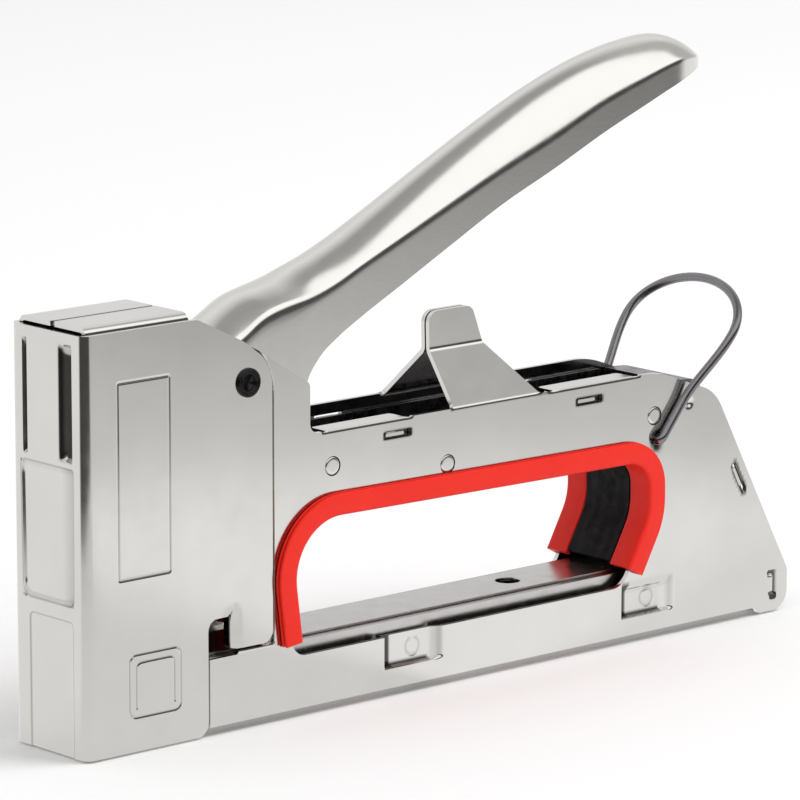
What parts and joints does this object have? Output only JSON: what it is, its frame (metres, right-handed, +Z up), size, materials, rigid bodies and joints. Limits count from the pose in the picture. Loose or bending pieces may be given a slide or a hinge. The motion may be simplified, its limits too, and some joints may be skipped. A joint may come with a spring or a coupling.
{
  "type": "hand staple gun",
  "caption": "Hand staple gun of folded plated steel sheet with a pressed squeeze lever, red-edged hand hole, wire lock bail and a pull-out magazine.",
  "frame": {"origin": "middle of the bounding box in X and Y, on the surface that the tool stands on (the nose sole and the tail foot)", "axes": "+X from the nose to the tail, +Y across the tool to its right as it is held, +Z up from the sole"},
  "size_m": [0.19, 0.0336, 0.125],
  "materials": {
    "plated_steel": "polished nickel plate on folded sheet",
    "handle_steel": "satin chrome plate on pressed sheet",
    "inner_steel": "oiled hardened steel",
    "spring_wire": "drawn spring wire",
    "black_steel": "black oxide",
    "staple_wire": "galvanised wire",
    "red_trim": "soft red plastic",
    "black_web": "black moulded plastic",
    "bumper_rubber": "moulded rubber"
  },
  "bodies": {
    "frame": {"left_side_plate": "plated_steel", "right_side_plate": "plated_steel", "front_cover": "plated_steel", "left_grip_trim": "red_trim", "right_grip_trim": "red_trim", "grip_web": "black_web", "beam_frame": "inner_steel", "rear_strap": "inner_steel", "left_rivet_front": "plated_steel", "left_rivet_middle": "plated_steel", "left_rivet_rear": "plated_steel", "right_rivet_front": "plated_steel", "right_rivet_middle": "plated_steel", "right_rivet_rear": "plated_steel", "magazine_body": "plated_steel", "magazine_cover": "plated_steel", "nose_guide": "inner_steel", "blade_guide": "inner_steel", "striker_bumper": "bumper_rubber", "spring_cap": "inner_steel", "main_spring": "spring_wire", "lift_lever_pin": "inner_steel", "handle_pivot_pin": "black_steel"},
    "handle": {"handle": "handle_steel", "handle_push_pin": "inner_steel"},
    "lift_lever": {"lift_lever": "inner_steel"},
    "striker": {"striker": "inner_steel", "driver_blade": "inner_steel"},
    "magazine_drawer": {"staple_rail": "inner_steel", "staple_strip": "staple_wire", "pusher_rod": "inner_steel", "pusher_spring": "spring_wire", "magazine_latch": "black_steel"},
    "staple_pusher": {"staple_pusher": "inner_steel"},
    "bail": {"wire_bail": "spring_wire"}
  },
  "joints": [
    {"name": "handle_pivot", "type": "hinge", "parent": "frame", "child": "handle", "pos_m": [-0.0546, 0, 0.0686], "axis": [0, 1, 0], "range_deg": [0, 18.5], "stiffness_Nm_per_rad": 2, "springref_deg": -17.19},
    {"name": "lift_lever_pivot", "type": "hinge", "parent": "frame", "child": "lift_lever", "pos_m": [-0.053, 0, 0.05], "axis": [0, 1, 0], "range_deg": [0, 28.7]},
    {"name": "striker_slide", "type": "slide", "parent": "frame", "child": "striker", "axis": [0, 0, 1], "range_m": [0, 0.0139], "deforming": ["main_spring"]},
    {"name": "bail_pivot", "type": "hinge", "parent": "frame", "child": "bail", "pos_m": [0.0558, 0, 0.0418], "axis": [0, 1, 0], "range_deg": [-96, 66]},
    {"name": "drawer_slide", "type": "slide", "parent": "frame", "child": "magazine_drawer", "axis": [1, 0, 0], "range_m": [0, 0.12]},
    {"name": "pusher_slide", "type": "slide", "parent": "magazine_drawer", "child": "staple_pusher", "axis": [1, 0, 0], "range_m": [0, 0.06], "stiffness_N_per_m": 12, "springref_m": -0.05, "deforming": ["pusher_spring"]}
  ],
  "couplings": [
    {"joint": "lift_lever_pivot", "follows": "handle_pivot", "ratio": 1.546},
    {"joint": "striker_slide", "follows": "handle_pivot", "m_per_rad": 0.04274}
  ]
}
